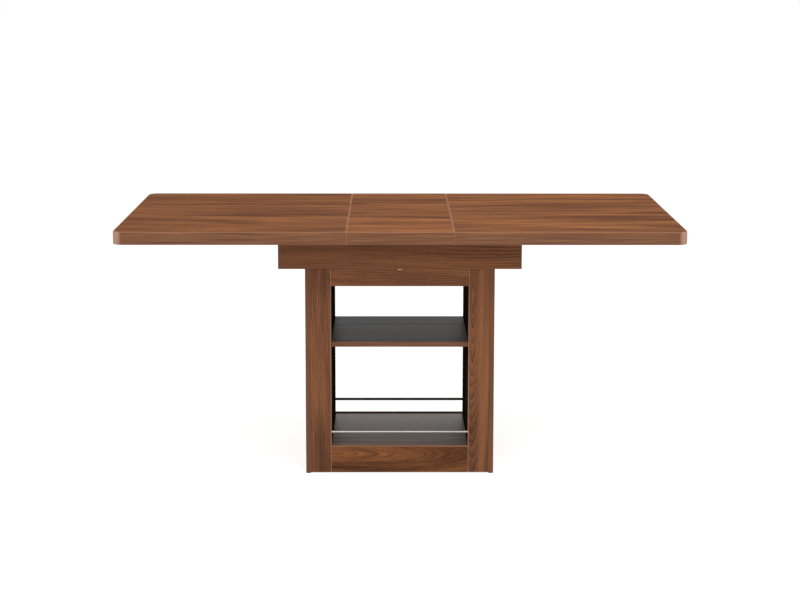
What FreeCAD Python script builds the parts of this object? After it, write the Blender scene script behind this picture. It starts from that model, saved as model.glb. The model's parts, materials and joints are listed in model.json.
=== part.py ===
import FreeCAD, Part
import math
import os

Vec = FreeCAD.Vector

# Extending kitchen table on a storage cabinet, in millimetres, drawn out with its leaf in place.
# The origin is on the floor under the middle of the top, +X runs to the right and -Y is the front.

# The table top as a whole
top_length = 1600.0
top_depth = 800.0
table_height = 750.0
leaf_width = 300.0

# Top boards: a faced board, thickened by a rim underneath and edged all round
top_board = 18.0
rim_thickness = 18.0
rim_width = 60.0
edging = 2.0
corner_radius = 28.0
arris_chamfer = 1.2
seam_gap = 0.5
fold_gap = 0.6

# Barrel hinges that are let into the facing edges of the two leaf panels
hinge_reach = 95.0
barrel_diameter = 12.0
barrel_length = 14.0
barrel_clearance = 0.05
link_width = 2.6
link_thickness = 3.0
link_reach = 6.0
link_slot_gap = 0.4

# Cabinet carcass
carcass_board = 15.0
board_ease = 0.8
cabinet_width = 550.0
cabinet_depth = 400.0
stile_width = 60.0
top_rail_height = 52.0
plinth_height = 79.0
plinth_lip = 2.0
middle_shelf_height = 392.0
shelf_end_gap = 0.5
shelf_setback = 1.0
shelf_edging = 1.5
cleat_section = 20.0
cleat_setback = 30.0

# Guard rods, shelf pins, dowels and foot glides
rod_diameter = 8.0
rod_rise = 44.0
rod_socket = 12.0
pin_diameter = 5.0
pin_socket = 8.0
pin_shelf_reach = 8.0
pin_inset = 64.0
dowel_diameter = 8.0
dowel_length = 30.0
socket_clearance = 0.05
glide_length = 30.0
glide_width = 14.0
glide_height = 3.0
glide_inset = 1.5
glide_ease = 1.2

# Apron box that stands on the cabinet and holds the folded leaf
apron_length = 704.0
apron_height = 101.0
apron_proud = 8.0
apron_clearance = 1.0
pad_length = 24.0
pad_width = 12.0
bracket_leg = 25.0
bracket_width = 30.0
bracket_steel = 2.0
bracket_reach = 100.0
bracket_lift = 8.0
tie_plate_width = 12.0
tie_plate_drop = 4.5
tie_plate_steel = 1.5
tie_plate_setback = 1.5
tie_plate_rounding = 2.0

# Ball slides that carry the two halves
slide_steel = 1.5
slide_height = 35.0
slide_depth = 13.0
slide_drop = 2.0
slide_end_gap = 3.0
slide_middle_gap = 4.0
slide_bend = 2.5
channel_depth = 11.0
channel_lip = 2.0
runner_depth = 9.6
raceway_depth = 0.3
raceway_clearance = 0.1
ball_diameter = 4.8
balls_per_row = 3
ball_sides = 8
ball_rings = 3
cage_steel = 0.8
cage_margin = 1.3
cage_gap = 0.5
cage_end_gap = 2.5
pocket_clearance = 0.1
spare_travel = 25.0

# Bearers under the halves, and the notches that they pass through
bearer_thickness = 15.0
bearer_setback = 3.5
bearer_overhang = 10.0
bearer_margin = 3.2
bearer_taper = 18.0
bearer_notch_gap = 1.0
notch_clearance = 3.0

# Heights
rim_top = table_height - top_board
top_underside = rim_top - rim_thickness
apron_top = top_underside - apron_clearance
apron_bottom = apron_top - apron_height
board_z = (rim_top, table_height)
rim_z = (top_underside, rim_top)
top_z = (top_underside, table_height)
apron_z = (apron_bottom, apron_top)
floor_z = (apron_bottom, apron_bottom + carcass_board)
carcass_z = (glide_height, apron_bottom)
top_rail_z = (apron_bottom - top_rail_height, apron_bottom)
plinth_z = (glide_height, glide_height + plinth_height)
bottom_shelf_top = plinth_z[1] - plinth_lip
bottom_shelf_z = (bottom_shelf_top - carcass_board, bottom_shelf_top)
middle_shelf_z = (middle_shelf_height - carcass_board, middle_shelf_height)
rod_z = bottom_shelf_top + rod_rise
pin_z = middle_shelf_z[0] - pin_diameter / 2

# Faces to the right of the middle, and to the rear of it
top_end = top_length / 2
top_back = top_depth / 2
seam_face = leaf_width / 2 + seam_gap / 2
leaf_face = leaf_width / 2 - seam_gap / 2
fold_face = fold_gap / 2
cabinet_side = cabinet_width / 2
cabinet_back = cabinet_depth / 2
stile_x = (cabinet_side - carcass_board - stile_width, cabinet_side - carcass_board)
stile_y = (cabinet_back - carcass_board, cabinet_back)
stile_middle = (stile_y[0] + stile_y[1]) / 2
opening_side = stile_x[0]
apron_end = apron_length / 2
box_end = apron_end - carcass_board
apron_back = cabinet_back + apron_proud
box_back = apron_back - carcass_board

# Ball slide layout, on the inner face of the rear apron at the right
slide_z = top_underside - slide_drop - slide_height / 2
slide_x = (slide_middle_gap, box_end - slide_end_gap)
half_reach = leaf_width / 2
runner_x = (slide_x[0] + half_reach, slide_x[1] + half_reach)
cage_slack = cage_end_gap + spare_travel / 2
cage_x = (runner_x[0] + cage_slack, slide_x[1] - cage_slack)
bearer_back = box_back - slide_depth
bearer_y = (bearer_back - bearer_thickness, bearer_back)
ball_radius = ball_diameter / 2
channel_inside = slide_height / 2 - slide_steel
ball_rise = channel_inside + raceway_depth - raceway_clearance - ball_radius
runner_rise = ball_rise - ball_radius - raceway_clearance + raceway_depth
runner_tip = bearer_back + runner_depth
ball_y = box_back - (slide_steel + channel_depth) / 2
ball_pitch = (cage_x[1] - cage_x[0]) / balls_per_row

parts = {}


def keep(name, *solids):
    """Store the solids of one piece, or of one group of like pieces, under its name."""
    parts[name] = solids[0] if len(solids) == 1 else Part.makeCompound(list(solids))


def both(reach):
    """Range that reaches equally far to both sides of the middle."""
    return (-reach, reach)


def block(x, y, z):
    """Box between a low and a high value on each axis."""
    return Part.makeBox(x[1] - x[0], y[1] - y[0], z[1] - z[0], Vec(x[0], y[0], z[0]))


def rod(start, axis, length, diameter):
    """Round bar from a start point along an axis."""
    return Part.makeCylinder(diameter / 2, length, Vec(*start), Vec(*axis))


def chosen_edges(solid, wanted):
    """Edges whose end points the test accepts."""
    return [edge for edge in solid.Edges if wanted([vertex.Point for vertex in edge.Vertexes])]


def rounded(solid, radius, wanted):
    """Round the chosen edges."""
    return solid.makeFillet(radius, chosen_edges(solid, wanted))


def bevelled(solid, width, wanted):
    """Bevel the chosen edges."""
    return solid.makeChamfer(width, chosen_edges(solid, wanted))


def board(x, y, z):
    """Faced board with all its arrises eased."""
    return bevelled(block(x, y, z), board_ease, lambda points: True)


def to_side(solid, side, face):
    """Copy of a piece modelled at the right rear, at the side (left is -1) and face (front is -1) given."""
    if side < 0:
        solid = solid.mirror(Vec(), Vec(1, 0, 0))
    if face < 0:
        solid = solid.mirror(Vec(), Vec(0, 1, 0))
    return solid


def four_ways(solid):
    """The same piece in all four quarters of the table."""
    return [to_side(solid, side, face) for side in (-1, 1) for face in (-1, 1)]


def cut_all(solid, tools):
    """Cut several tools from a solid."""
    for tool in tools:
        solid = solid.cut(tool)
    return solid


# Cabinet carcass

def rail_dowel(z, diameter):
    """Dowel at the right rear, half in the stile and half in the end of a rail of these heights."""
    start = (opening_side - dowel_length / 2, stile_middle, (z[0] + z[1]) / 2)
    return rod(start, (1, 0, 0), dowel_length, diameter)


def rod_hole():
    """Blind socket for a guard rod in the inner edge of the right rear stile."""
    start = (opening_side - rod_socket, stile_middle, rod_z)
    return rod(start, (1, 0, 0), 2 * rod_socket, rod_diameter + 2 * socket_clearance)


dowel_socket = dowel_diameter + 2 * socket_clearance


def stile():
    sockets = [rail_dowel(z, dowel_socket) for z in (top_rail_z, plinth_z)]
    return cut_all(board(stile_x, stile_y, carcass_z), sockets + [rod_hole()])


def cross_rail(z):
    """Top rail or plinth between the two rear stiles, bored for a dowel at each end."""
    sockets = [to_side(rail_dowel(z, dowel_socket), side, 1) for side in (-1, 1)]
    return cut_all(board(both(opening_side), stile_y, z), sockets)


def side_panel():
    return board((cabinet_side - carcass_board, cabinet_side), both(cabinet_back), carcass_z)


def foot_glide():
    """Flat glide under the side panel, bevelled where it meets the floor."""
    middle = cabinet_side - carcass_board / 2
    back = cabinet_back - glide_inset
    glide = block((middle - glide_width / 2, middle + glide_width / 2), (back - glide_length, back),
                  (0, glide_height))
    return bevelled(glide, glide_ease, lambda points: all(point.z == 0 for point in points))


pin_y = stile_y[0] - pin_inset


def shelf_pin(diameter):
    """Pin at the right rear, half in the inner panel and half under the middle shelf."""
    start = (opening_side - pin_shelf_reach, pin_y, pin_z)
    return rod(start, (1, 0, 0), pin_shelf_reach + pin_socket, diameter)


def inner_panel():
    panel = board((opening_side, opening_side + carcass_board), both(stile_y[0]), carcass_z)
    pins = [to_side(shelf_pin(pin_diameter + 2 * socket_clearance), 1, face) for face in (-1, 1)]
    return cut_all(panel, pins)


def bottom_shelf_cleat():
    x = (opening_side - cleat_section, opening_side)
    z = (bottom_shelf_z[0] - cleat_section, bottom_shelf_z[0])
    return board(x, both(stile_y[0] - cleat_setback), z)


def guard_rod():
    reach = opening_side + rod_socket
    return rod((-reach, stile_middle, rod_z), (1, 0, 0), 2 * reach, rod_diameter)


for side, side_name in ((-1, "left"), (1, "right")):
    keep(side_name + "_side_panel", to_side(side_panel(), side, 1))
    keep(side_name + "_inner_panel", to_side(inner_panel(), side, 1))
for face, face_name in ((-1, "front"), (1, "rear")):
    for side, side_name in ((-1, "left"), (1, "right")):
        keep(face_name + "_" + side_name + "_stile", to_side(stile(), side, face))
    keep(face_name + "_top_rail", to_side(cross_rail(top_rail_z), 1, face))
    keep(face_name + "_plinth", to_side(cross_rail(plinth_z), 1, face))
    keep(face_name + "_guard_rod", to_side(guard_rod(), 1, face))

shelf_x = both(opening_side - shelf_end_gap)
shelf_back = stile_y[0] - shelf_setback
shelf_band_y = (shelf_back - shelf_edging, shelf_back)
shelf_band = block(shelf_x, shelf_band_y, middle_shelf_z)
keep("bottom_shelf", board(both(opening_side), both(stile_y[0]), bottom_shelf_z))
keep("bottom_shelf_cleats", *[to_side(bottom_shelf_cleat(), side, 1) for side in (-1, 1)])
keep("middle_shelf", block(shelf_x, both(shelf_band_y[0]), middle_shelf_z))
keep("middle_shelf_edging", *[to_side(shelf_band, 1, face) for face in (-1, 1)])
keep("shelf_pins", *four_ways(shelf_pin(pin_diameter)))
keep("rail_dowels", *[dowel for z in (top_rail_z, plinth_z) for dowel in four_ways(rail_dowel(z, dowel_diameter))])
keep("foot_glides", *four_ways(foot_glide()))


# Apron box

notch_foot = slide_z - slide_height / 2 - notch_clearance


def end_apron():
    """Right end apron, notched at both upper corners so that the bearers and runners pass."""
    x = (box_end, apron_end)
    notch = block(x, (bearer_y[0] - notch_clearance, box_back), (notch_foot, apron_top))
    return cut_all(board(x, both(box_back), apron_z), [to_side(notch, 1, face) for face in (-1, 1)])


def floor_bracket():
    """Steel angle between the right end apron and the floor of the well."""
    y = (bracket_reach - bracket_width / 2, bracket_reach + bracket_width / 2)
    x = (box_end - bracket_leg, box_end)
    z = (floor_z[1], floor_z[1] + bracket_leg)
    return block(x, y, z).cut(block((x[0], x[1] - bracket_steel), y, (z[0] + bracket_steel, z[1])))


def corner_bracket():
    """Steel angle in the corner between the right end apron and the rear apron, below the slide."""
    x = (box_end - bracket_leg, box_end)
    y = (box_back - bracket_leg, box_back)
    z = (floor_z[1] + bracket_lift, floor_z[1] + bracket_lift + bracket_width)
    return block(x, y, z).cut(block((x[0], x[1] - bracket_steel), (y[0], y[1] - bracket_steel), z))


def leaf_pad():
    """Pad on the rear apron's top edge, under the right side of the leaf."""
    x = leaf_face - edging - rim_width / 2
    y = (box_back + apron_back) / 2
    return block((x - pad_length / 2, x + pad_length / 2), (y - pad_width / 2, y + pad_width / 2),
                 (apron_top, top_underside))


def tie_plate():
    """Small angle plate under the front apron, screwed to the front rail."""
    x = both(tie_plate_width / 2)
    under = block(x, (tie_plate_setback - apron_back, -cabinet_back),
                  (apron_bottom - tie_plate_steel, apron_bottom))
    face = block(x, (-cabinet_back - tie_plate_steel, -cabinet_back),
                 (apron_bottom - tie_plate_drop, apron_bottom))
    low = apron_bottom - tie_plate_drop
    face = rounded(face, tie_plate_rounding, lambda points: all(
        point.z < low + tie_plate_steel for point in points) and points[0].x == points[1].x)
    return under.fuse(face).removeSplitter()


long_apron = board(both(apron_end), (box_back, apron_back), apron_z)
keep("front_apron", to_side(long_apron, 1, -1))
keep("rear_apron", long_apron)
keep("left_end_apron", to_side(end_apron(), -1, 1))
keep("right_end_apron", end_apron())
keep("well_floor", board(both(box_end), both(box_back), floor_z))
keep("box_brackets", *four_ways(floor_bracket()), *four_ways(corner_bracket()))
keep("leaf_pads", *four_ways(leaf_pad()))
keep("apron_tie_plate", tie_plate())


# Ball slides: channel on the apron, runner on the bearer, and balls in a cage between them

def raceways(x):
    """Round grooves that the balls run in, along the upper and the lower row."""
    groove = ball_diameter + 2 * raceway_clearance
    return [rod((x[0], ball_y, slide_z + row * ball_rise), (1, 0, 0), x[1] - x[0], groove) for row in (-1, 1)]


def along_x(points, y, z):
    """True for an edge that runs along X at one height and depth."""
    return len(points) == 2 and all(abs(point.y - y) < 1e-6 and abs(point.z - z) < 1e-6 for point in points)


def bent(solid, y):
    """Round the two long bends of a slide profile at the depth given."""
    box = solid.BoundBox
    return rounded(solid, slide_bend, lambda points: any(along_x(points, y, z) for z in (box.ZMin, box.ZMax)))


def slide_channel():
    """Lipped channel, fixed to the apron and open towards the bearer."""
    mouth = box_back - channel_depth
    z = (slide_z - slide_height / 2, slide_z + slide_height / 2)
    inside = (slide_z - channel_inside, slide_z + channel_inside)
    throat = (inside[0] + channel_lip, inside[1] - channel_lip)
    cavity = block(slide_x, (mouth + slide_steel, box_back - slide_steel), inside)
    opening = block(slide_x, (mouth, mouth + slide_steel), throat)
    return cut_all(bent(block(slide_x, (mouth, box_back), z), box_back), [cavity, opening] + raceways(slide_x))


def slide_runner():
    """Inner profile, fixed to the bearer and open towards the apron."""
    z = (slide_z - runner_rise, slide_z + runner_rise)
    inside = (z[0] + slide_steel, z[1] - slide_steel)
    cavity = block(runner_x, (bearer_back + slide_steel, runner_tip), inside)
    return cut_all(bent(block(runner_x, (bearer_back, runner_tip), z), bearer_back), [cavity] + raceways(runner_x))


ball_x = [cage_x[0] + (number + 0.5) * ball_pitch for number in range(balls_per_row)]
ball_z = [slide_z + row * ball_rise for row in (-1, 1)]


def ball_cage():
    """Folded strip with a pocket for each ball."""
    web_y = box_back - slide_steel - cage_gap
    y = (ball_y - ball_radius - cage_margin / 2, web_y)
    z = (ball_z[0] - cage_steel / 2, ball_z[1] + cage_steel / 2)
    cage = block(cage_x, y, z)
    cage = cage.cut(block(cage_x, (y[0], web_y - cage_steel), (z[0] + cage_steel, z[1] - cage_steel)))
    outline = ring(Vec(), ball_radius + pocket_clearance, Vec(1, 0, 0), Vec(0, 1, 0))
    pocket = Part.Face(outline).extrude(Vec(0, 0, z[1] - z[0]))
    return cut_all(cage, [pocket.translated(Vec(x, ball_y, z[0])) for x in ball_x])


def ring(centre, radius, first, second):
    """Regular outline round a centre, in the plane of two axes."""
    turns = [number * 2 * math.pi / ball_sides for number in range(ball_sides + 1)]
    return Part.makePolygon([centre + first * (radius * math.cos(turn)) + second * (radius * math.sin(turn))
                             for turn in turns])


def slide_ball(x, z):
    """Ball with few facets, through rings at equal steps of latitude."""
    latitudes = [math.pi * (number + 0.5) / ball_rings - math.pi / 2 for number in range(ball_rings)]
    rings = [ring(Vec(x + ball_radius * math.sin(turn), ball_y, z), ball_radius * math.cos(turn),
                  Vec(0, 1, 0), Vec(0, 0, 1)) for turn in latitudes]
    return Part.makeLoft(rings, True, True)


def slide_balls():
    return [slide_ball(x, z) for x in ball_x for z in ball_z]


def bearer():
    """Bearer under the right half at the rear, notched under the rim and tapered at its outer end."""
    x = (seam_face + edging + bearer_setback, runner_x[1] + bearer_overhang)
    notch_x = seam_face + edging + rim_width + bearer_notch_gap
    low = slide_z - runner_rise - bearer_margin
    outline = [(x[0], low), (x[1] - bearer_taper, low), (x[1], low + bearer_taper), (x[1], rim_top),
               (notch_x, rim_top), (notch_x, top_underside), (x[0], top_underside), (x[0], low)]
    profile = Part.makePolygon([Vec(px, bearer_y[0], pz) for px, pz in outline])
    return Part.Face(profile).extrude(Vec(0, bearer_thickness, 0))


for side, side_name in ((-1, "left"), (1, "right")):
    for face, face_name in ((-1, "front"), (1, "rear")):
        corner = face_name + "_" + side_name
        keep(corner + "_slide_channel", to_side(slide_channel(), side, face))
        keep(corner + "_runner", to_side(slide_runner(), side, face))
        keep(corner + "_bearer", to_side(bearer(), side, face))
    keep(side_name + "_ball_cages", *[to_side(ball_cage(), side, face) for face in (-1, 1)])
    keep(side_name + "_slide_balls", *[to_side(ball, side, face) for ball in slide_balls() for face in (-1, 1)])


# Top halves

def half_blank(inset, z):
    """Plan of the right half, inset all round: square at the seam, rounded at the outer corners."""
    end = top_end - inset
    blank = block((seam_face + inset, end), both(top_back - inset), z)
    return rounded(blank, corner_radius - inset, lambda points: all(point.x == end for point in points)
                   and points[0].y == points[1].y)


def level(points, z):
    """True for an edge that lies in one of the two planes of a range of heights."""
    return any(all(abs(point.z - height) < 1e-6 for point in points) for height in z)


def half_rim():
    """Strips under the board: along the rear and front, along the end and along the seam."""
    blank = half_blank(edging, rim_z)
    x = (seam_face + edging, top_end - edging)
    back = top_back - edging
    inner = back - rim_width
    strips = [block(x, (inner, back), rim_z), block(x, (-back, -inner), rim_z),
              block((x[1] - rim_width, x[1]), both(inner), rim_z),
              block((x[0], x[0] + rim_width), both(inner), rim_z)]
    return [strip.common(blank) for strip in strips]


def half_edging():
    """Edging that wraps the three outer sides, and the strip along the seam."""
    hoop = bevelled(half_blank(0, top_z), arris_chamfer, lambda points: level(points, top_z))
    hoop = hoop.cut(half_blank(edging, top_z))
    seam = block((seam_face, seam_face + edging), both(top_back - edging), top_z)
    return [hoop.cut(seam), hoop.common(seam)]


for side, side_name in ((-1, "left"), (1, "right")):
    keep(side_name + "_top_board", to_side(half_blank(edging, board_z), side, 1))
    keep(side_name + "_top_rim", *[to_side(strip, side, 1) for strip in half_rim()])
    keep(side_name + "_top_edging", *[to_side(strip, side, 1) for strip in half_edging()])


# Leaf of two panels that fold on barrel hinges

barrel_z = table_height - top_board / 2
hinge_x = both(hinge_reach)


def leaf_blank(inset, z):
    """Plan of the rear leaf panel, inset on its three outer sides."""
    return block(both(leaf_face - inset), (fold_face, top_back - inset), z)


def leaf_panel():
    """Faced board with its upper fold arris eased, bored for the hinge barrels."""
    panel = bevelled(leaf_blank(edging, board_z), board_ease, lambda points: all(
        point.y == fold_face and point.z == table_height for point in points))
    bores = [rod((x, fold_face, barrel_z), (0, 1, 0), barrel_length, barrel_diameter) for x in hinge_x]
    return cut_all(panel, bores)


def leaf_rim():
    """Strips under the rear panel: along its rear edge and both seams."""
    side = leaf_face - edging
    back = top_back - edging
    inner = back - rim_width
    strip = block((side - rim_width, side), (fold_face, inner), rim_z)
    return [block(both(side), (inner, back), rim_z), strip, to_side(strip, -1, 1)]


def leaf_edging():
    """Edging round the three outer sides of the rear panel."""
    blank = bevelled(leaf_blank(0, top_z), arris_chamfer, lambda points: level(points, top_z)
                     and not all(point.y == fold_face for point in points))
    return blank.cut(leaf_blank(edging, top_z))


def barrel(x):
    """Hinge barrel in the rear panel."""
    return rod((x, fold_face, barrel_z), (0, 1, 0), barrel_length, barrel_diameter - 2 * barrel_clearance)


def linked_barrel(x):
    """Rear barrel with the link that reaches into the front barrel."""
    link = block((x - link_width / 2, x + link_width / 2), (-link_reach, fold_face + link_reach),
                 (barrel_z - link_thickness / 2, barrel_z + link_thickness / 2))
    return barrel(x).fuse(link).removeSplitter()


def slotted_barrel(x):
    """Front barrel with the slot that the link swings through as the panel folds."""
    pivot_drop = table_height + fold_face - barrel_z
    link_drop = pivot_drop + link_thickness / 2
    swing = (link_reach ** 2 + link_drop ** 2) ** 0.5
    half_width = link_width / 2 + link_slot_gap
    slot = block((x - half_width, x + half_width), (-link_reach - link_slot_gap, -fold_face),
                 (barrel_z + pivot_drop - swing - link_slot_gap, barrel_z + link_thickness / 2 + link_slot_gap))
    return to_side(barrel(x), 1, -1).cut(slot)


for face, face_name, hinge_half in ((-1, "front", slotted_barrel), (1, "rear", linked_barrel)):
    keep("leaf_" + face_name + "_board", to_side(leaf_panel(), 1, face))
    keep("leaf_" + face_name + "_rim", *[to_side(strip, 1, face) for strip in leaf_rim()])
    keep("leaf_" + face_name + "_edging", to_side(leaf_edging(), 1, face))
    keep("leaf_" + face_name + "_hinges", *[hinge_half(x) for x in hinge_x])


os.makedirs("parts", exist_ok=True)
for name, shape in parts.items():
    shape.exportStep("parts/" + name + ".step")
print(len(parts), "pieces written")
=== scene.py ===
import json
import math

import bpy
import numpy as np
from mathutils import Matrix, Vector


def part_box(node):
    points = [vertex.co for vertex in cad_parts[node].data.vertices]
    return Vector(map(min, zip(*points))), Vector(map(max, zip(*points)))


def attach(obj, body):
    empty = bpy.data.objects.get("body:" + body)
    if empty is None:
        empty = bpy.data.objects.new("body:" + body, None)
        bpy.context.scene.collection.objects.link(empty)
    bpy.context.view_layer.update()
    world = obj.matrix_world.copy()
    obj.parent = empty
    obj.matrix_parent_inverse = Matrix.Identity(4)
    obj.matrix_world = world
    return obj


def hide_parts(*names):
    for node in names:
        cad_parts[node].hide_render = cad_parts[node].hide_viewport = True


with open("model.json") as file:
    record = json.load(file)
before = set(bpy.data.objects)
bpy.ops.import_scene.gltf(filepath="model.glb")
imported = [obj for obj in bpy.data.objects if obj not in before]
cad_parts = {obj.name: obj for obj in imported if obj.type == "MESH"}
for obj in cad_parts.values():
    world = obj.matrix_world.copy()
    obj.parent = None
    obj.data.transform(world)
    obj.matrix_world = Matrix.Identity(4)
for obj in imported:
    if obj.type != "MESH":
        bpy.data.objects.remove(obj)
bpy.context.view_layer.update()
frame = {"nodes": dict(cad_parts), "record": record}


# screen colour 0-255 to the linear colour that the shaders take
def tint(red, green, blue):
    screen = np.array([red, green, blue]) / 255
    linear = np.where(screen <= 0.04045, screen / 12.92, ((screen + 0.055) / 1.055) ** 2.4)
    return (*[float(part) for part in linear], 1.0)


# a socket that can be added, multiplied and so on; each sign adds a Math node
class Wire:
    def __init__(self, sheet, socket):
        self.sheet = sheet
        self.socket = socket

    def op(self, operation, *values):
        return self.sheet.node("ShaderNodeMath", {"operation": operation}, dict(enumerate(values)))

    def __add__(self, other):
        return self.op("ADD", self, other)

    def __radd__(self, other):
        return self.op("ADD", other, self)

    def __sub__(self, other):
        return self.op("SUBTRACT", self, other)

    def __rsub__(self, other):
        return self.op("SUBTRACT", other, self)

    def __mul__(self, other):
        return self.op("MULTIPLY", self, other)

    def __rmul__(self, other):
        return self.op("MULTIPLY", other, self)

    def __truediv__(self, other):
        return self.op("DIVIDE", self, other)

    def __pow__(self, other):
        return self.op("POWER", self, other)

    def __abs__(self):
        return self.op("ABSOLUTE", self)

    def fract(self):
        return self.op("FRACT", self)

    def atMost(self, limit):
        return self.op("MINIMUM", self, limit)

    def between(self, low, high):     # 0 at low and 1 at high, eased; low may be the larger one
        ease = {"interpolation_type": "SMOOTHSTEP"}
        limits = {"Value": self, "From Min": low, "From Max": high}
        return self.sheet.node("ShaderNodeMapRange", ease, limits)


# the node tree of one finish
class Sheet:
    def __init__(self, tree):
        self.tree = tree
        tree.nodes.clear()

    def node(self, kind, settings=None, inputs=None, output=0):
        made = self.tree.nodes.new(kind)
        for key, value in (settings or {}).items():
            if key == "stops":
                self.setStops(made.color_ramp, value)
            else:
                setattr(made, key, value)
        for key, value in (inputs or {}).items():
            if isinstance(value, Wire):
                self.tree.links.new(value.socket, made.inputs[key])
            else:
                made.inputs[key].default_value = value
        return Wire(self, made.outputs[output]) if made.outputs else made

    def setStops(self, ramp, stops):
        while len(ramp.elements) < len(stops):
            ramp.elements.new(1.0)
        for element, (place, colour) in zip(ramp.elements, stops):
            element.position = place
            element.color = colour

    def parts(self, vector):
        split = {"Vector": vector}
        return [self.node("ShaderNodeSeparateXYZ", inputs=split, output=axis) for axis in "XYZ"]

    def places(self):                 # the point's own x, y and z in metres
        return self.parts(self.node("ShaderNodeTexCoord", output="Object"))

    def point(self, *parts):
        return self.node("ShaderNodeCombineXYZ", inputs=dict(zip("XYZ", parts)))

    def noise(self, point, detail=2.0, roughness=0.5):
        values = {"Vector": point, "Scale": 1.0, "Detail": detail, "Roughness": roughness}
        return self.node("ShaderNodeTexNoise", inputs=values)

    def drawn(self, place, length, width, detail=2.0, roughness=0.5):     # noise drawn out along the grain
        along, across, inward = place
        return self.noise(self.point(along / length, across / width, inward / width), detail, roughness)

    def ramp(self, value, stops, shade=1.0):      # stops in screen colours, each of them times the shade
        tinted = [(place, tint(*(np.array(colour) * shade))) for place, colour in stops]
        return self.node("ShaderNodeValToRGB", {"stops": tinted}, {"Fac": value})

    def mix(self, amount, first, second):
        return self.node("ShaderNodeMix", {"data_type": "RGBA"}, {0: amount, 6: first, 7: second}, output=2)

    def bump(self, height, depth):
        return self.node("ShaderNodeBump", inputs={"Height": height, "Distance": depth, "Strength": 1.0})

    def surface(self, **values):      # the shader, with underscores for the spaces in its socket names
        sockets = {key.replace("_", " "): value for key, value in values.items()}
        shader = self.node("ShaderNodeBsdfPrincipled", inputs=sockets)
        self.node("ShaderNodeOutputMaterial", inputs={"Surface": shader})


def newFinish(name):
    material = bpy.data.materials.new(name)
    material.use_nodes = True
    return material, Sheet(material.node_tree)


def dress(node, material):
    mesh = frame["nodes"][node].data
    mesh.materials.clear()
    mesh.materials.append(material)


# camera at the photograph's viewing angle, sizes in metres and turns in radians
camera = {
    "place": (-0.0292, -5.2411, 1.5160),
    "turnRight": 0.0058, "lookDown": 0.15, "roll": 0.0012,
    "lens": 79.63, "sensor": 36.0, "shift": (0.0, -0.1),
}


def addCamera():
    data = bpy.data.cameras.new("tableCamera")
    data.lens = camera["lens"]
    data.sensor_width = camera["sensor"]
    data.shift_x, data.shift_y = camera["shift"]
    level = np.array([math.sin(camera["turnRight"]), math.cos(camera["turnRight"]), 0.0])
    side = np.array([level[1], -level[0], 0.0])
    upright = np.array([0.0, 0.0, 1.0])
    sink, roll = camera["lookDown"], camera["roll"]
    forward = level * math.cos(sink) - upright * math.sin(sink)
    crown = level * math.sin(sink) + upright * math.cos(sink)
    right = side * math.cos(roll) + crown * math.sin(roll)
    up = crown * math.cos(roll) - side * math.sin(roll)
    turned = Matrix(np.array([right, up, -forward]).T.tolist()).to_4x4()
    view = bpy.data.objects.new("tableCamera", data)
    view.matrix_world = Matrix.Translation(camera["place"]) @ turned
    bpy.context.scene.collection.objects.link(view)
    bpy.context.scene.camera = view


addCamera()
print("camera set")


# studio: white surroundings, soft lamps and a pale floor that keeps the shadow
studio = {
    "ambient": 0.6, "white": (1.0, 1.0, 1.0, 1.0),
    "lamps": {
        "frontLamp": {"place": (-0.6, -4.6, 1.1), "size": 2.0, "power": 54.0},
        "topLamp": {"place": (0.4, -1.6, 3.4), "size": 3.0, "power": 73.0},
        "leftLamp": {"place": (-3.4, -1.4, 1.2), "size": 1.4, "power": 34.0},
        "rightLamp": {"place": (3.4, -1.4, 1.2), "size": 1.4, "power": 38.0},
    },
    "aim": (0.0, 0.0, 0.45),
    "floorReach": 40.0, "floorBounce": (0.55, 0.55, 0.55, 1.0),
    "floorGlow": 0.83, "floorShade": (0.3, 0.3, 0.3, 1.0),
}


def seenDirectly(sheet):              # 1 for what the camera sees straight, mirrored or through glass
    names = ("Is Camera Ray", "Is Glossy Ray", "Is Transmission Ray")
    straight, mirrored, through = [sheet.node("ShaderNodeLightPath", output=name) for name in names]
    return (straight + mirrored + through).atMost(1.0)


def addSurroundings():
    world = bpy.data.worlds.new("studio")
    world.use_nodes = True
    bpy.context.scene.world = world
    sheet = Sheet(world.node_tree)
    white = studio["white"]
    lit = sheet.node("ShaderNodeBackground", inputs={"Color": white, "Strength": studio["ambient"]})
    shown = sheet.node("ShaderNodeBackground", inputs={"Color": white, "Strength": 1.0})
    both = sheet.node("ShaderNodeMixShader", inputs={0: seenDirectly(sheet), 1: lit, 2: shown})
    sheet.node("ShaderNodeOutputWorld", inputs={"Surface": both})


def addLamps():
    for name, values in studio["lamps"].items():
        data = bpy.data.lights.new(name, "AREA")
        data.size = values["size"]
        data.energy = values["power"]
        lamp = bpy.data.objects.new(name, data)
        lamp.location = values["place"]
        aim = Vector(studio["aim"]) - Vector(values["place"])
        lamp.rotation_euler = aim.to_track_quat("-Z", "Y").to_euler()
        bpy.context.scene.collection.objects.link(lamp)


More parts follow.
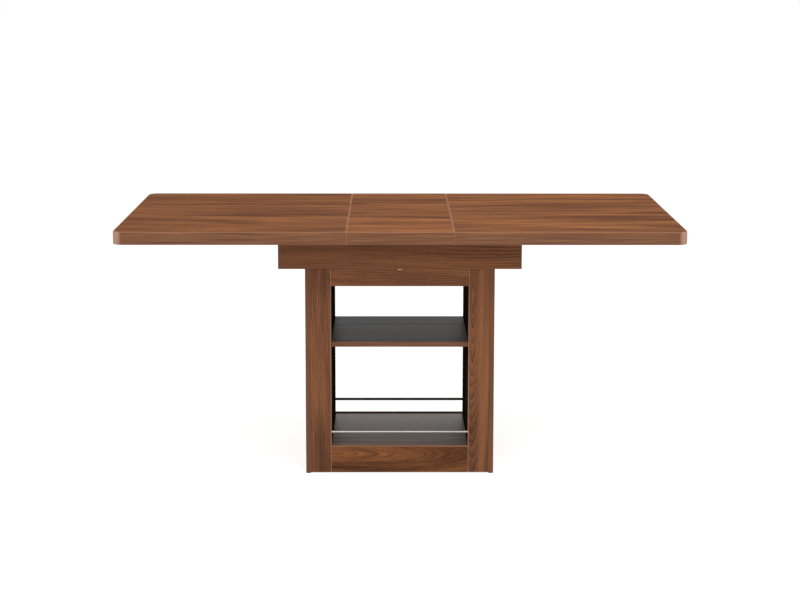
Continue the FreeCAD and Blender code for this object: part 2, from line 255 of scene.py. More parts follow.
# the floor bounces light as a grey sheet, and shows itself as a white glow with the object's soft shadow
def addFloor():
    reach = studio["floorReach"]
    corners = [(-reach, -reach, 0), (reach, -reach, 0), (reach, reach, 0), (-reach, reach, 0)]
    mesh = bpy.data.meshes.new("floor")
    mesh.from_pydata(corners, [], [(0, 1, 2, 3)])
    material, sheet = newFinish("paleFloor")
    bounce = sheet.node("ShaderNodeBsdfDiffuse", inputs={"Color": studio["floorBounce"]})
    light = {"Color": studio["white"], "Strength": studio["floorGlow"]}
    glow = sheet.node("ShaderNodeEmission", inputs=light)
    shade = sheet.node("ShaderNodeBsdfDiffuse", inputs={"Color": studio["floorShade"]})
    shown = sheet.node("ShaderNodeAddShader", inputs={0: glow, 1: shade})
    both = sheet.node("ShaderNodeMixShader", inputs={0: seenDirectly(sheet), 1: bounce, 2: shown})
    sheet.node("ShaderNodeOutputMaterial", inputs={"Surface": both})
    mesh.materials.append(material)
    floor = bpy.data.objects.new("floor", mesh)
    bpy.context.scene.collection.objects.link(floor)


addSurroundings()
addLamps()
addFloor()
bpy.context.scene.view_settings.view_transform = "Standard"
print("studio lit")


# walnut: growth rings round the heart of a log, cut by the board's faces, with long colour bands and fibres
walnut = {
    "stops": [(0.08, (66, 41, 31)), (0.32, (101, 66, 48)), (0.5, (131, 86, 60)), (0.68, (157, 104, 64)),
              (0.92, (184, 129, 83))],
    "swayLength": 0.55, "swayWidth": 0.16, "sway": 0.03,
    "bandLength": 0.6, "bandWidth": 0.026, "bandDetail": 4.0, "bandRough": 0.68, "bandGain": 1.5,
    "ringWidth": 0.0046, "ringDrift": 0.8, "ringSharp": 2.5, "ringGain": 0.34,
    "fadeWidth": 0.05, "fadeShift": 5.0, "fadeEdge": (0.35, 0.6), "flameEase": 1.7,
    "wobbleLength": 0.05, "wobbleWidth": 0.007,
    "fibreLength": 0.09, "fibreWidth": 0.0018, "fibreDetail": 3.0, "fibreRough": 0.6, "fibreGain": 0.34,
    "poreLength": 0.014, "poreWidth": 0.0007, "poreDetail": 0.0, "poreEdge": (0.62, 0.74), "poreGain": 0.12,
    "greenShare": 1 / 3, "roughness": 0.52, "roughSpread": 0.12, "specular": 0.0015, "relief": 0.0002,
}
# how each board was cut: axes along, across and through the grain, heart of the log, lean and run-out;
# a streak has its place across the board, its width and gain, a fade its start, its end and gain along it
logs = {
    "left_top_board": {"axes": "xyz", "heart": (-0.62, 0.35), "lean": 0.012, "shift": 3.1,
                       "figure": 0.66, "lines": 0.8, "wobble": 0.4, "warmth": 0.07},
    "right_top_board": {"axes": "xyz", "heart": (-0.75, 0.30), "lean": -0.01, "shift": 7.4, "tone": 0.98,
                        "figure": 0.76, "lines": 0.8, "wobble": 0.4, "warmth": 0.07},
    "leaf_rear_board": {"axes": "xyz", "heart": (-0.55, 0.32), "shift": 14.4, "figure": 0.85,
                        "wobble": 0.4, "warmth": 0.07, "streaks": [(0.045, 0.035, 0.12)]},
    "leaf_front_board": {"axes": "xyz", "heart": (-0.7, 0.25), "lean": 0.008, "shift": 16.2, "figure": 0.85,
                         "wobble": 0.4, "warmth": 0.07, "streaks": [(-0.015, 0.02, -0.12)]},
    "front_apron": {"axes": "xzy", "heart": (0.75, 0.12), "lean": 0.02, "shift": 21.3, "tone": 0.945,
                    "figure": 0.4, "lines": 1.0, "rings": 1.5, "wobble": 0.4, "fades": [(0.05, 0.3, 0.04)]},
    "rear_apron": {"axes": "xzy", "heart": (0.78, 0.2), "lean": -0.04, "shift": 25.9, "figure": 0.4,
                   "lines": 1.3},
    "left_end_apron": {"axes": "yzx", "heart": (0.72, 0.5), "lean": 0.03, "shift": 31.7, "figure": 0.4},
    "right_end_apron": {"axes": "yzx", "heart": (0.8, -0.5), "lean": -0.03, "shift": 35.2, "figure": 0.4},
    "front_top_rail": {"axes": "xzy", "heart": (0.66, 0.22), "lean": 0.02, "shift": 41.5, "tone": 1.03,
                       "figure": 0.3},
    "rear_top_rail": {"axes": "xzy", "heart": (0.65, 0.1), "lean": -0.02, "shift": 45.8, "figure": 0.4,
                      "lines": 1.3},
    "front_plinth": {"axes": "xzy", "heart": (0.060, 0.222), "runOut": 0.085, "shift": 50.4, "tone": 0.92,
                     "lines": 0.7, "warmth": 0.14},
    "rear_plinth": {"axes": "xzy", "heart": (0.03, -0.17), "runOut": -0.05, "shift": 55.1, "tone": 0.98},
    # the fades on the two front stiles are painted shade: darker towards the bottom, and on the left stile
    # also towards its top under the apron
    "front_left_stile": {"axes": "zxy", "heart": (-0.33, 0.3), "lean": 0.01, "shift": 61.6, "tone": 0.92,
                         "figure": 0.5, "lines": 0.8,
                         "streaks": [(-0.248, 0.024, 0.065), (-0.221, 0.024, -0.065)],
                         "fades": [(0.26, 0.06, -0.11), (0.48, 0.6, -0.07)]},
    "front_right_stile": {"axes": "zxy", "heart": (0.213, 0.275), "runOut": -0.125, "shift": 66.3,
                          "tone": 0.95, "figure": 0.3, "lines": 0.7, "clear": 0.25, "rings": 1.15,
                          "tight": 1.7, "flame": 0.024, "streaks": [(0.237, 0.02, 0.085)],
                          "fades": [(0.3, 0.06, -0.1)]},
    "rear_left_stile": {"axes": "zxy", "heart": (-0.23, -0.285), "runOut": 0.125, "shift": 71.2,
                        "figure": 0.5, "rings": 0.6, "tight": 1.7, "flame": 0.02},
    "rear_right_stile": {"axes": "zxy", "heart": (0.34, -0.1), "lean": 0.02, "shift": 76.9, "figure": 0.5},
    "left_side_panel": {"axes": "zyx", "heart": (0.04, 0.33), "runOut": 0.06, "shift": 81.4},
    "right_side_panel": {"axes": "zyx", "heart": (-0.05, -0.22), "runOut": 0.05, "shift": 86.5},
}
# what holds where a board doesn't say: figure is for the bands, lines for the dark ring ends, clear shows
# more of those, rings is for their width, tight draws them together and flame keeps them near the heart
plainLog = {"lean": 0.0, "runOut": 0.0, "tone": 1.0, "warmth": 0.0, "figure": 1.0, "lines": 1.0,
            "clear": 0.0, "rings": 1.0, "tight": 1.0, "flame": 10.0, "wobble": 0.9,
            "streaks": [], "fades": []}
# strips along cut edges, at the end of the board that is nearest to 0 on the axis or furthest from it: a
# paler edge band on the leaf boards, a darker one on the side panels, a paler band with a painted highlight
# on the stiles, a painted highlight on the front plinth's top arris and painted shade on the rear plinth's
# lip
edgeTints = {
    "leaf": {"axis": "y", "end": "near", "width": 0.0020, "ease": 0.0003, "tint": (160, 112, 82),
             "amount": 0.8},
    # stiles: a paler edge band with a painted highlight along the inner arris
    "stile": {"axis": "x", "end": "near", "width": 0.0023, "ease": 0.0003, "tint": (146, 106, 82),
              "amount": 1.0},
    "side_panel": {"axis": "y", "end": "far", "width": 0.00095, "ease": 0.00015, "tint": (104, 71, 53),
                   "amount": 0.8},
    # front plinth: a painted highlight along its top arris
    "front_plinth": {"axis": "z", "end": "far", "width": 0.0018, "ease": 0.0004, "tint": (146, 106, 82),
                     "amount": 0.8},
    # rear plinth: painted shade on the inner face of its lip
    "rear_plinth": {"axis": "z", "end": "far", "width": 0.0010, "ease": 0.0004, "tint": (58, 44, 38),
                    "amount": 1.0},
}


# 1 on the strip and 0 on the rest of the board
def edgeTintStrip(node, edgeTint, distance):
    ends = np.abs(np.array(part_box(node))[:, "xyz".index(edgeTint["axis"])])
    width, ease = edgeTint["width"], edgeTint["ease"]
    if edgeTint["end"] == "near":
        limit = ends.min() + width
        return distance.between(limit + ease, limit - ease)
    limit = ends.max() - width
    return distance.between(limit - ease, limit + ease)


# ring number = distance from the heart over the ring width, bent by the bands and a small wobble;
# value = middle + bands + fibres - dark ring ends - pores, then a ramp from dark to golden brown
def walnutFinish(node, log, edgeTint=None):
    material, sheet = newFinish(node + "Walnut")
    axis = dict(zip("xyz", sheet.places()))
    run, side, face = [axis[letter] for letter in log["axes"]]
    along = run + log["shift"]
    across = (side - log["heart"][0] + run * log["lean"]) * log["tight"]
    inward = face + log["heart"][1] + run * log["runOut"]
    place = (along, across, inward)
    sway = (sheet.drawn(place, walnut["swayLength"], walnut["swayWidth"]) - 0.5) * walnut["sway"]
    radius = (across * across + inward * inward) ** 0.5 + sway
    bandRun = along / walnut["bandLength"]
    bandPoint = sheet.point(bandRun, radius / walnut["bandWidth"], log["shift"])
    band = sheet.noise(bandPoint, walnut["bandDetail"], walnut["bandRough"]) - 0.5
    fadePoint = sheet.point(bandRun, radius / walnut["fadeWidth"], log["shift"] + walnut["fadeShift"])
    fade = (sheet.noise(fadePoint) + log["clear"]).between(*walnut["fadeEdge"])
    wobble = sheet.drawn(place, walnut["wobbleLength"], walnut["wobbleWidth"]) * log["wobble"]
    ring = radius / (walnut["ringWidth"] * log["rings"]) + band * walnut["ringDrift"] + wobble
    flame = abs(across).between(log["flame"] * walnut["flameEase"], log["flame"])
    ringEnd = ring.fract() ** walnut["ringSharp"] * fade * flame
    fibre = sheet.drawn(place, walnut["fibreLength"], walnut["fibreWidth"],
                        walnut["fibreDetail"], walnut["fibreRough"]) - 0.5
    pore = sheet.drawn(place, walnut["poreLength"], walnut["poreWidth"], walnut["poreDetail"])
    pore = pore.between(*walnut["poreEdge"])
    value = (band * walnut["bandGain"] * log["figure"] + fibre * walnut["fibreGain"] + 0.5
             - ringEnd * (walnut["ringGain"] * log["lines"]) - pore * walnut["poreGain"])
    for middle, width, gain in log["streaks"]:
        value = value + abs(side - middle).between(width, 0.0) * gain
    for start, full, gain in log["fades"]:
        value = value + run.between(start, full) * gain
    warmth = log["warmth"]            # takes some blue away, and a share of that from the green
    shade = np.array([1.0, 1.0 - warmth * walnut["greenShare"], 1.0 - warmth]) * log["tone"]
    colour = sheet.ramp(value, walnut["stops"], shade)
    # the edge strip's tint: edge band colour on the leaf boards and side panels, edge band with painted
    # highlight on the stiles, painted highlight on the front plinth, painted shade on the rear plinth
    if edgeTint:
        strip = edgeTintStrip(node, edgeTint, abs(axis[edgeTint["axis"]])) * edgeTint["amount"]
        colour = sheet.mix(strip, colour, tint(*edgeTint["tint"]))
    rough = (pore + ringEnd - fibre) * walnut["roughSpread"] + walnut["roughness"]
    sheet.surface(Base_Color=colour, Roughness=rough, Specular_IOR_Level=walnut["specular"],
                  Normal=sheet.bump(value, walnut["relief"]))
    return material


def dressWalnut():
    for node, log in logs.items():
        edgeTint = [values for key, values in edgeTints.items() if key in node]
        dress(node, walnutFinish(node, {**plainLog, **log}, *edgeTint))


dressWalnut()
print("walnut boards:", len(logs))


# black-brown decor of the shelves and the inner panels, with a fine embossed grain
blackDecor = {
    "stops": [(0.3, (17, 13, 11)), (0.55, (31, 25, 21)), (0.8, (50, 42, 36))],
    "streakLength": 0.35, "streakWidth": 0.02, "streakDetail": 3.0, "streakGain": 1.0,
    "fibreLength": 0.05, "fibreWidth": 0.0014, "fibreGain": 0.4,
    "roughSpread": 0.2, "wornFrom": (0.15, -0.15), "relief": 0.00012,
    "boards": {
        "left_inner_panel": {"axes": "zyx", "tone": 1.15, "roughness": 0.6, "worn": 0.0, "specular": 0.0,
                             "sheen": (255, 255, 255)},
        "right_inner_panel": {"axes": "zyx", "tone": 1.3, "roughness": 0.6, "worn": 0.0, "specular": 0.0,
                              "sheen": (255, 255, 255)},
        "middle_shelf": {"axes": "xyz", "tone": 1.32, "roughness": 0.46, "worn": 0.0, "specular": 0.09,
                         "sheen": (255, 243, 238)},
        "bottom_shelf": {"axes": "xyz", "tone": 2.7, "roughness": 0.34, "worn": 0.2, "specular": 0.28,
                         "sheen": (255, 233, 223)},
    },
}


# value = middle + wide streaks + fibres, both drawn out along the grain; worn dull towards the front
def blackFinish(node, board):
    material, sheet = newFinish(node + "Black")
    axis = dict(zip("xyz", sheet.places()))
    place = [axis[letter] for letter in board["axes"]]
    streak = sheet.drawn(place, blackDecor["streakLength"], blackDecor["streakWidth"],
                         blackDecor["streakDetail"]) - 0.5
    fibre = sheet.drawn(place, blackDecor["fibreLength"], blackDecor["fibreWidth"]) - 0.5
    value = streak * blackDecor["streakGain"] + fibre * blackDecor["fibreGain"] + 0.5
    colour = sheet.ramp(value, blackDecor["stops"], board["tone"])
    worn = axis["y"].between(*blackDecor["wornFrom"]) * board["worn"]
    rough = (fibre + streak) * blackDecor["roughSpread"] + worn + board["roughness"]
    sheet.surface(Base_Color=colour, Roughness=rough, Specular_IOR_Level=board["specular"],
                  Specular_Tint=tint(*board["sheen"]), Normal=sheet.bump(fibre, blackDecor["relief"]))
    return material


for node, board in blackDecor["boards"].items():
    dress(node, blackFinish(node, board))
print("black boards:", len(blackDecor["boards"]))


# a closed shell from a grid of points: rows along the piece, each row a closed loop, both ends capped
def shellFaces(grid, first):
    rows, loop = grid.shape[:2]
    row, column = np.meshgrid(np.arange(rows - 1), np.arange(loop), indexing="ij")
    near = first + row * loop + column
    beside = first + row * loop + (column + 1) % loop
    sides = np.stack([near, beside, beside + loop, near + loop], -1).reshape(-1, 4)
    ends = [first + np.arange(loop)[::-1], first + (rows - 1) * loop + np.arange(loop)]
    return sides.tolist() + [end.tolist() for end in ends]


# six times the volume that the grid's sides enclose, below zero when the faces would point inwards
def enclosed(grid):
    turned = np.roll(grid, -1, axis=1)
    corners = grid - grid.mean((0, 1))
    besides = turned - grid.mean((0, 1))
    first = np.einsum("ijk,ijk->ij", corners[:-1], np.cross(besides[:-1], besides[1:]))
    second = np.einsum("ijk,ijk->ij", corners[:-1], np.cross(besides[1:], corners[1:]))
    return first.sum() + second.sum()


# one piece from one or more shells; strips holds three finish values for each point of each shell
def addPiece(name, grids, material, body, strips=None, smoothTo=40.0):
    grids = [np.asarray(grid, float) for grid in grids]
    faces, first = [], 0
    for number, grid in enumerate(grids):
        if enclosed(grid) < 0:
            grids[number] = grid[:, ::-1]
            if strips is not None:
                strips[number] = strips[number][:, ::-1]
        faces += shellFaces(grid, first)
        first += grid.shape[0] * grid.shape[1]
    mesh = bpy.data.meshes.new(name)
    mesh.from_pydata(np.concatenate([grid.reshape(-1, 3) for grid in grids]).tolist(), [], faces)
    mesh.polygons.foreach_set("use_smooth", np.ones(len(mesh.polygons), bool))
    mesh.set_sharp_from_angle(angle=math.radians(smoothTo))
    if strips is not None:
        values = np.concatenate([strip.reshape(-1, 3) for strip in strips])
        mesh.attributes.new("strip", "FLOAT_VECTOR", "POINT").data.foreach_set("vector", values.ravel())
    mesh.materials.append(material)
    piece = bpy.data.objects.new(name, mesh)
    bpy.context.scene.collection.objects.link(piece)
    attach(piece, body)
    return piece


# walnut edging: a thin band with rounded arrises, lined along its length, with a paler seam tint that is a
# painted highlight on the outer arrises, and a painted highlight on the corner bends
edging = {
    "corner": 0.028, "arris": 0.0015, "arrisSteps": 6, "cornerSteps": 24,
    "starts": {"left": 0.0, "right": 11.0, "rear": 22.0, "front": 31.0},     # each cut from its own place
    "stops": [(0.25, (82, 53, 38)), (0.5, (112, 76, 56)), (0.75, (136, 96, 72))], "detail": 3.0,
    "lineLength": 0.2, "lineWidth": 0.0022, "lineLayer": 0.0, "lineGain": 0.95,
    "bandLength": 0.5, "bandWidth": 0.015, "bandLayer": 4.0, "bandGain": 0.18,
    # the arris tint is the paler seam colour, and on the outer and lower arrises a painted highlight
    "seamColourAndArrisHighlightTint": (166, 113, 80), "outerArrisHighlightAmount": 0.9, "underShare": 0.5,
    "seamAmount": 0.9, "seamReach": 0.0016, "seamFace": 0.65, "seamRun": 4.0,
    # the bend tint is a painted highlight on the rounded corners, where they turn towards the side lamps
    "bendHighlightTint": (172, 135, 119), "bendHighlightAmount": 0.75, "bendFrom": 0.15, "bendEase": 0.75,
    "roughness": 0.34, "roughSpread": 0.12, "specular": 0.012, "relief": 0.00015,
}


# value = middle + bands + fine lines, both drawn out along the band; the arrises go to the paler seam tint,
# which on the outer arrises is a painted highlight, and the corner bends go to a painted highlight tint
def edgingFinish(name, fromStrip):
    material, sheet = newFinish(name)
    if fromStrip:
        strip = sheet.node("ShaderNodeAttribute", {"attribute_name": "strip"}, output="Vector")
        along, around, pale = sheet.parts(strip)
    else:
        along, around = sheet.places()[::2]
    linePoint = sheet.point(along / edging["lineLength"], around / edging["lineWidth"], edging["lineLayer"])
    bandPoint = sheet.point(along / edging["bandLength"], around / edging["bandWidth"], edging["bandLayer"])
    lines = sheet.noise(linePoint, edging["detail"]) - 0.5
    bands = sheet.noise(bandPoint, edging["detail"]) - 0.5
    value = lines * edging["lineGain"] + bands * edging["bandGain"] + 0.5
    colour = sheet.ramp(value, edging["stops"])
    if fromStrip:
        # seam tint with the painted arris highlight, then the painted highlight on the corner bends
        colour = sheet.mix(pale, colour, tint(*edging["seamColourAndArrisHighlightTint"]))
        colour = sheet.mix(pale * -1.0, colour, tint(*edging["bendHighlightTint"]))
    sheet.surface(Base_Color=colour, Roughness=lines * edging["roughSpread"] + edging["roughness"],
                  Specular_IOR_Level=edging["specular"], Normal=sheet.bump(lines, edging["relief"]))
    return material


# section of the band: a quarter circle at the lower arris, one at the upper arris, then the straight back;
# each point is its depth behind the outer face, its height and its share of the arris tint (the seam
# colour, and a painted highlight on the outer arrises)
def edgingSection(low, high, depth):
    arris, share = edging["arris"], edging["underShare"]
    turn = np.linspace(0, np.pi / 2, edging["arrisSteps"])
    sine, cosine = np.sin(turn), np.cos(turn)
    under = np.stack([arris - arris * sine, low + arris - arris * cosine, share * cosine], 1)
    over = np.stack([arris - arris * cosine, high - arris + arris * sine, sine], 1)
    back = np.array([[depth, high, 1.0], [depth, low, share]])
    return np.concatenate([under, over, back])


# point(i, j) = path(i) + inward(i) * depth(j) at height(j); its strip is the length along, the length
# around and how pale it is, above 0 for the seam tint and the painted arris highlight, below 0 for the
# painted highlight on the bends
def carryBand(path, inward, light, section, start):
    plan = path[:, None, :] + inward[:, None, :] * section[None, :, :1]
    shape = plan.shape[:2]
    height = np.broadcast_to(section[None, :, 1:2], shape + (1,))
    run = start + np.concatenate([[0], np.cumsum(np.linalg.norm(np.diff(path, axis=0), axis=1))])
    around = np.concatenate([[0], np.cumsum(np.linalg.norm(np.diff(section[:, :2], axis=0), axis=1))])
    face = np.broadcast_to(light[:, None, 1], shape)
    pale = np.where(face < 0, face, np.maximum(light[:, None, 0] * section[None, :, 2], face))
    strip = np.stack([np.broadcast_to(run[:, None], shape), np.broadcast_to(around, shape), pale], -1)
    return np.concatenate([plan, height], -1), strip


# outline of a half: along the front, round a corner, along the end, round a corner, along the back
def halfOutline(seam, end, back):
    radius, reach = edging["corner"], edging["seamReach"]
    turn = np.linspace(0, np.pi / 2, edging["cornerSteps"])
    frontOut = np.stack([np.sin(turn), -np.cos(turn)], 1)
    backOut = np.stack([np.cos(turn), np.sin(turn)], 1)
    frontArc = np.array([end - radius, radius - back]) + radius * frontOut
    backArc = np.array([end - radius, back - radius]) + radius * backOut
    starts = np.array([[seam, -back], [seam + reach, -back]])
    path = np.concatenate([starts, frontArc, backArc, starts[::-1] * [1, -1]])
    inward = -np.concatenate([[[0, -1]] * 2, frontOut, backOut, [[0, 1]] * 2])
    # painted highlight along each corner arc, strongest half way round
    bend = np.concatenate([[0, 0], np.sin(2 * turn), np.sin(2 * turn), [0, 0]])
    return path, inward, paleness(bend)


# amounts along the path: on the arris (seam tint, and a painted highlight on the outer arris), and on the
# whole height, above 0 at seam ends and below 0 for the painted highlight on the bends
def paleness(bend):
    light = np.zeros((len(bend), 2))
    light[:, 0] = edging["outerArrisHighlightAmount"]
    light[:, 1] = -np.clip((bend - edging["bendFrom"]) / edging["bendEase"], 0, 1) * edging["bendHighlightAmount"]
    light[[0, -1], 1] = edging["seamFace"]
    return light


def addHalfEdging(side, sign, material):
    start = edging["starts"][side]
    low, high = [np.array(corner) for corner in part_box(side + "_top_edging")]
    boardEnd = np.abs(np.array(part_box(side + "_top_board"))[:, 0]).max()
    seam, end = np.sort(np.abs([low[0], high[0]]))
    back, depth = high[1], end - boardEnd
    section = edgingSection(low[2], high[2], depth)
    wrap, wrapStrip = carryBand(*halfOutline(seam, end, back), section, start)
    seamPath = np.array([[seam, depth - back], [seam, back - depth]])
    seamInward = np.array([[1.0, 0.0], [1.0, 0.0]])
    light = np.array([[edging["seamAmount"], 0.0]] * 2)
    seamBand, seamStrip = carryBand(seamPath, seamInward, light, section, start + edging["seamRun"])
    grids = [grid * [sign, 1, 1] for grid in (wrap, seamBand)]
    piece = addPiece(side + "TopEdging", grids, material, side + "_half",
                     [wrapStrip, seamStrip])
    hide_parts(side + "_top_edging")


def addLeafEdging(face, sign, material):
    low, high = [np.array(corner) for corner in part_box("leaf_" + face + "_edging")]
    side, depth = high[0], high[0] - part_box("leaf_" + face + "_board")[1].x
    fold, back = np.sort(np.abs([low[1], high[1]]))
    reach = edging["seamReach"]
    section = edgingSection(low[2], high[2], depth)
    left = np.array([[-side, fold], [-side, back], [reach - side, back]])
    path = np.concatenate([left, left[::-1] * [-1, 1]])
    inward = np.array([[1.0, 0.0], [1.0, -1.0], [0.0, -1.0], [0.0, -1.0], [-1.0, -1.0], [-1.0, 0.0]])
    seam, outer, end = edging["seamAmount"], edging["outerArrisHighlightAmount"], edging["seamFace"]
    light = np.array([[seam, 0.0], [seam, end], [outer, 0.0], [outer, 0.0], [seam, end], [seam, 0.0]])
    band, strip = carryBand(path, inward, light, section, edging["starts"][face])
    piece = addPiece("leaf" + face.title() + "Edging", [band * [1, sign, 1]], material, "leaf_" + face,
                     [strip])
    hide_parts("leaf_" + face + "_edging")


bandFinish = edgingFinish("walnutEdging", True)
addHalfEdging("left", -1, bandFinish)
addHalfEdging("right", 1, bandFinish)
addLeafEdging("rear", 1, bandFinish)
addLeafEdging("front", -1, bandFinish)
dress("middle_shelf_edging", edgingFinish("shelfEdging", False))
print("edging bands: 4")


# guard rods: polished bars with a small bevel at their ends, with painted shade on the half towards the
# shelf
rod = {
    "sides": 48, "bevel": 0.0006,
    # the inner tint is painted shade, as if the rod's inner half mirrored the dark inside of the cabinet
    "outerTint": (134, 132, 130), "paintedShadeTint": (34, 32, 31), "turnOver": (-0.0020, 0.0010),
    "roughness": 0.22, "roughSpread": 0.12, "drawLength": 0.08, "drawWidth": 0.0009,
}


# painted shade tint up to the rod's middle, on the half towards the shelf, and the outer tint past it, with
# fine lines along the rod in the roughness
def chromeFinish():
    material, sheet = newFinish("chromeRod")
    place = sheet.places()
    draw = sheet.drawn(place, rod["drawLength"], rod["drawWidth"])
    middle = np.array(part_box("rear_guard_rod"))[:, 1].mean()
    # painted shade mask: 0 on the half towards the shelf, 1 on the half away from it
    outward = abs(place[1]).between(*[middle + step for step in rod["turnOver"]])
    colour = sheet.mix(outward, tint(*rod["paintedShadeTint"]), tint(*rod["outerTint"]))
    rough = (draw - 0.5) * rod["roughSpread"] + rod["roughness"]
    sheet.surface(Base_Color=colour, Metallic=1.0, Roughness=rough)
    return material


# circle of the row's radius carried along X: point(i, t) = (x(i), y + r(i) cos t, z + r(i) sin t)
def turnedAlongX(stations, radii, centre, sides):
    turn = np.linspace(0, 2 * np.pi, sides, endpoint=False)
    x = np.broadcast_to(np.asarray(stations)[:, None], (len(stations), sides))
    ring = np.asarray(radii)[:, None]
    return np.stack([x, centre[0] + ring * np.cos(turn), centre[1] + ring * np.sin(turn)], -1)


def addRods():
    finish = chromeFinish()
    for face in ("front", "rear"):
        low, high = [np.array(corner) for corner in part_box(face + "_guard_rod")]
        radius, bevel = (high[2] - low[2]) / 2, rod["bevel"]
        stations = [low[0], low[0] + bevel, high[0] - bevel, high[0]]
        radii = [radius - bevel, radius, radius, radius - bevel]
        grid = turnedAlongX(stations, radii, (low + high)[1:] / 2, rod["sides"])
        piece = addPiece(face + "GuardRod", [grid], finish, "cabinet")
        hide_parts(face + "_guard_rod")


addRods()
print("guard rods: 2")


# plain pressed board under the top: flat chips of several browns, with fine specks over them
rawBoard = {
    "stops": [(0.0, (116, 92, 68)), (0.35, (142, 116, 88)), (0.7, (163, 137, 107)), (1.0, (181, 156, 126))],
    "chip": 0.0028, "chipStretch": 2.2, "speck": 0.0009, "speckGain": 0.5,
    "relief": 0.0003, "roughness": 0.85,
}


# value = a random level for each stretched cell + fine noise
def rawFinish():
    material, sheet = newFinish("rawBoard")
    place = sheet.places()
    x, y, z = place
    chip, speckSize = rawBoard["chip"], rawBoard["speck"]
    cellPoint = sheet.point(x / (chip * rawBoard["chipStretch"]), y / chip, z / chip)
    values = {"Vector": cellPoint, "Scale": 1.0}
    cells = sheet.node("ShaderNodeTexVoronoi", {"feature": "F1"}, values, output="Color")
    level = sheet.node("ShaderNodeSeparateColor", inputs={"Color": cells})
    speck = sheet.drawn(place, speckSize, speckSize) - 0.5
    value = level + speck * rawBoard["speckGain"]
    sheet.surface(Base_Color=sheet.ramp(value, rawBoard["stops"]), Roughness=rawBoard["roughness"],
                  Normal=sheet.bump(value, rawBoard["relief"]))
    return material


# beech: pale pink-brown with fine fibres and the short flecks of its rays
beech = {
    "stops": [(0.2, (150, 106, 72)), (0.5, (196, 152, 112)), (0.8, (216, 178, 138))],
    "fibreLength": 0.07, "fibreWidth": 0.0016, "fibreDetail": 3.0, "fibreGain": 0.6,
    "rayLength": 0.004, "rayWidth": 0.0007, "rayEdge": (0.6, 0.7), "rayGain": 0.22,
    "roughness": 0.6, "relief": 0.0002,
}


# value = middle + fibres drawn out along X - ray flecks
def beechFinish():
    material, sheet = newFinish("beech")
    place = sheet.places()
    fibre = sheet.drawn(place, beech["fibreLength"], beech["fibreWidth"], beech["fibreDetail"]) - 0.5
    rays = sheet.drawn(place, beech["rayLength"], beech["rayWidth"]).between(*beech["rayEdge"])
    value = fibre * beech["fibreGain"] - rays * beech["rayGain"] + 0.5
    sheet.surface(Base_Color=sheet.ramp(value, beech["stops"]), Roughness=beech["roughness"],
                  Normal=sheet.bump(value, beech["relief"]))
    return material


# metals: a cloudy plate in the tint and the roughness, and rolling lines along X in the roughness
metals = {
    "zincSteel": {"dark": (135, 134, 132), "light": (171, 170, 167), "roughness": 0.34, "spread": 0.3,
                  "line": 0.0006, "cloud": 0.012},
    "platedSteel": {"dark": (120, 95, 80), "light": (146, 117, 98), "roughness": 0.4, "spread": 0.2,
                    "line": 0.0006, "cloud": 0.006},
    "bearingSteel": {"dark": (189, 188, 187), "light": (213, 212, 211), "roughness": 0.12, "spread": 0.1,
                     "line": 0.0004, "cloud": 0.004},
    "hingeBrass": {"dark": (176, 134, 66), "light": (212, 172, 98), "roughness": 0.3, "spread": 0.25,
                   "line": 0.0005, "cloud": 0.006},
}
mottle = {"edge": (0.3, 0.7), "lineDetail": 1.0}     # noise levels where a mottle goes from dark to light


def metalFinish(name):
    look = metals[name]
    material, sheet = newFinish(name)
    place = sheet.places()
    patch = sheet.drawn(place, look["cloud"], look["cloud"])
    lines = sheet.drawn(place, look["cloud"], look["line"], mottle["lineDetail"]) - 0.5
    colour = sheet.mix(patch.between(*mottle["edge"]), tint(*look["dark"]), tint(*look["light"]))
    rough = (patch - 0.5 + lines) * look["spread"] + look["roughness"]
    sheet.surface(Base_Color=colour, Roughness=rough, Metallic=1.0)
    return material


# felt pads and foot glides: fuzz, and the fine skin of a moulding
speckled = {
    "felt": {"dark": (28, 22, 19), "light": (58, 49, 43), "fuzz": 0.0006, "detail": 3.0, "relief": 0.0004,
             "roughness": 0.95, "roughSpread": 0.1},
    "glidePlastic": {"dark": (26, 18, 14), "light": (40, 29, 23), "fuzz": 0.0012, "detail": 3.0,
                     "relief": 0.00005, "roughness": 0.5, "roughSpread": 0.1},
}


def speckledFinish(name):
    look = speckled[name]
    material, sheet = newFinish(name)
    grain = sheet.drawn(sheet.places(), look["fuzz"], look["fuzz"], look["detail"])
    colour = sheet.mix(grain.between(*mottle["edge"]), tint(*look["dark"]), tint(*look["light"]))
    sheet.surface(Base_Color=colour, Roughness=grain * look["roughSpread"] + look["roughness"],
                  Normal=sheet.bump(grain, look["relief"]))
    return material


def slotNodes(slot):
    return [part["node"] for part in frame["record"]["subparts"] if part["material_slot"] == slot]


zincFinish = metalFinish("zincSteel")
bearingFinish = metalFinish("bearingSteel")
slotFinishes = {
    "raw_board": rawFinish(), "beech": beechFinish(), "zinc_steel": zincFinish,
    "bearing_steel": bearingFinish, "hinge_brass": metalFinish("hingeBrass"),
    "felt": speckledFinish("felt"), "glide_plastic": speckledFinish("glidePlastic"),
}
for slot, finish in slotFinishes.items():
    for node in slotNodes(slot):
        dress(node, finish)
dress("apron_tie_plate", metalFinish("platedSteel"))
print("inner finishes:", len(slotFinishes) + 1)


# balls of the slides, each a true sphere in its cage pocket
slideBall = {"radius": 0.0024, "perRow": 3, "sides": 24, "rings": 14, "poleGap": 0.06}


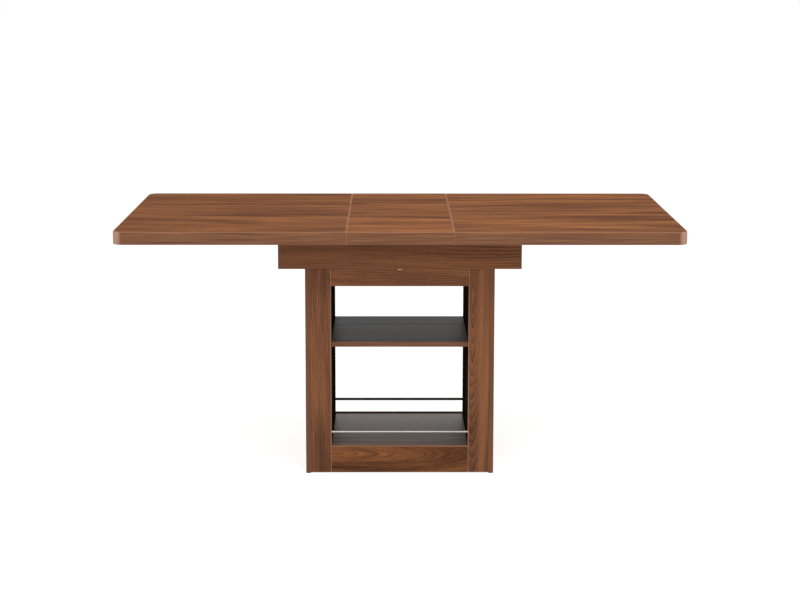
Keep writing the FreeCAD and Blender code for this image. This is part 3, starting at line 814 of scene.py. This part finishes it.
# a circle carried from pole to pole along X: station x + r sin u, ring radius r cos u
def addSlideBalls(side):
    low, high = [np.array(corner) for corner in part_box(side + "_slide_balls")]
    start, end = [corner.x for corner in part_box(side + "_ball_cages")]
    radius, count = slideBall["radius"], slideBall["perRow"]
    pole = np.pi / 2 - slideBall["poleGap"]
    turn = np.linspace(-pole, pole, slideBall["rings"])
    middles = start + (np.arange(count) + 0.5) * (end - start) / count
    places, heights = [(low[axis] + radius, high[axis] - radius) for axis in (1, 2)]
    rows = [(y, z) for y in places for z in heights]
    grids = [turnedAlongX(x + radius * np.sin(turn), radius * np.cos(turn), row, slideBall["sides"])
             for x in middles for row in rows]
    piece = addPiece(side + "SlideBalls", grids, bearingFinish, side + "_cages")
    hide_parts(side + "_slide_balls")


for side in ("left", "right"):
    addSlideBalls(side)
print("slide balls: 2 sets")


# pan-head screws that hold the angle brackets and the bearers
screw = {
    "radius": 0.0038, "rise": 0.0024, "skirt": 0.3, "sides": 48, "rings": 22, "middleGap": 0.03,
    "armWidth": 0.0012, "armReach": 0.0024, "armEase": 0.0003, "recess": 0.0015,
}
bracket = {"steel": 0.002, "leg": 0.025, "width": 0.03, "pitch": 0.2, "screwShare": 0.56}
bearer = {"screwShares": (0.08, 0.4, 0.66, 0.9)}      # along its length, from the seam


# point(s, t) = seat + r(s) round the axis + h(s, t) outwards; h is a dome less a cross, deepest inside
def screwHead(seat, outward):
    outward = np.array(outward, float)
    first = np.roll(outward, 1)
    second = np.cross(outward, first)
    turn = np.linspace(0, 2 * np.pi, screw["sides"], endpoint=False)
    share = np.concatenate([[1.0], np.linspace(1.0, screw["middleGap"], screw["rings"])])[:, None]
    right, up = share * screw["radius"] * np.cos(turn), share * screw["radius"] * np.sin(turn)
    height = screw["rise"] * (screw["skirt"] + (1 - screw["skirt"]) * (1 - share ** 2) ** 0.5)
    height = height * (np.arange(len(share)) > 0)[:, None]
    beside = np.minimum(np.abs(right), np.abs(up)) - screw["armWidth"] / 2
    past = np.maximum(np.abs(right), np.abs(up)) - screw["armReach"]
    inside = np.clip(-np.maximum(beside, past) / screw["armEase"], 0, 1)
    height = height - inside * screw["recess"] * (1 - share * screw["radius"] / (2 * screw["armReach"]))
    offsets = right[..., None] * first + up[..., None] * second + height[..., None] * outward
    return np.array(seat) + offsets


# one screw in each leg of the four brackets on the well floor and of the four in the box's corners
def bracketScrews():
    endFace, backFace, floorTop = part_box("well_floor")[1]
    steel, side = bracket["steel"], bracket["pitch"] / 2
    along = bracket["leg"] * bracket["screwShare"]
    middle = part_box("box_brackets")[1].z - bracket["width"] / 2
    seats = [
        ((endFace - along, side, floorTop + steel), (0, 0, 1)),
        ((endFace - steel, side, floorTop + along), (-1, 0, 0)),
        ((endFace - steel, backFace - along, middle), (-1, 0, 0)),
        ((endFace - along, backFace - steel, middle), (0, -1, 0)),
    ]
    quarters = [np.array([right, back, 1]) for right in (-1, 1) for back in (-1, 1)]
    return [screwHead(quarter * seat, quarter * outward) for seat, outward in seats for quarter in quarters]


# screws up through each bearer into the board
def bearerScrews(side, sign):
    boxes = [np.array(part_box(face + "_" + side + "_bearer")) for face in ("front", "rear")]
    seats = [(sign * (np.abs(box[:, 0]).min() + share * np.ptp(box[:, 0])), box[:, 1].mean(), box[0, 2])
             for box in boxes for share in bearer["screwShares"]]
    return [screwHead(seat, (0, 0, -1)) for seat in seats]


addPiece("bracketScrews", bracketScrews(), zincFinish, "cabinet")
addPiece("leftBearerScrews", bearerScrews("left", -1), zincFinish, "left_half")
addPiece("rightBearerScrews", bearerScrews("right", 1), zincFinish, "right_half")
print("screws on the brackets and bearers")
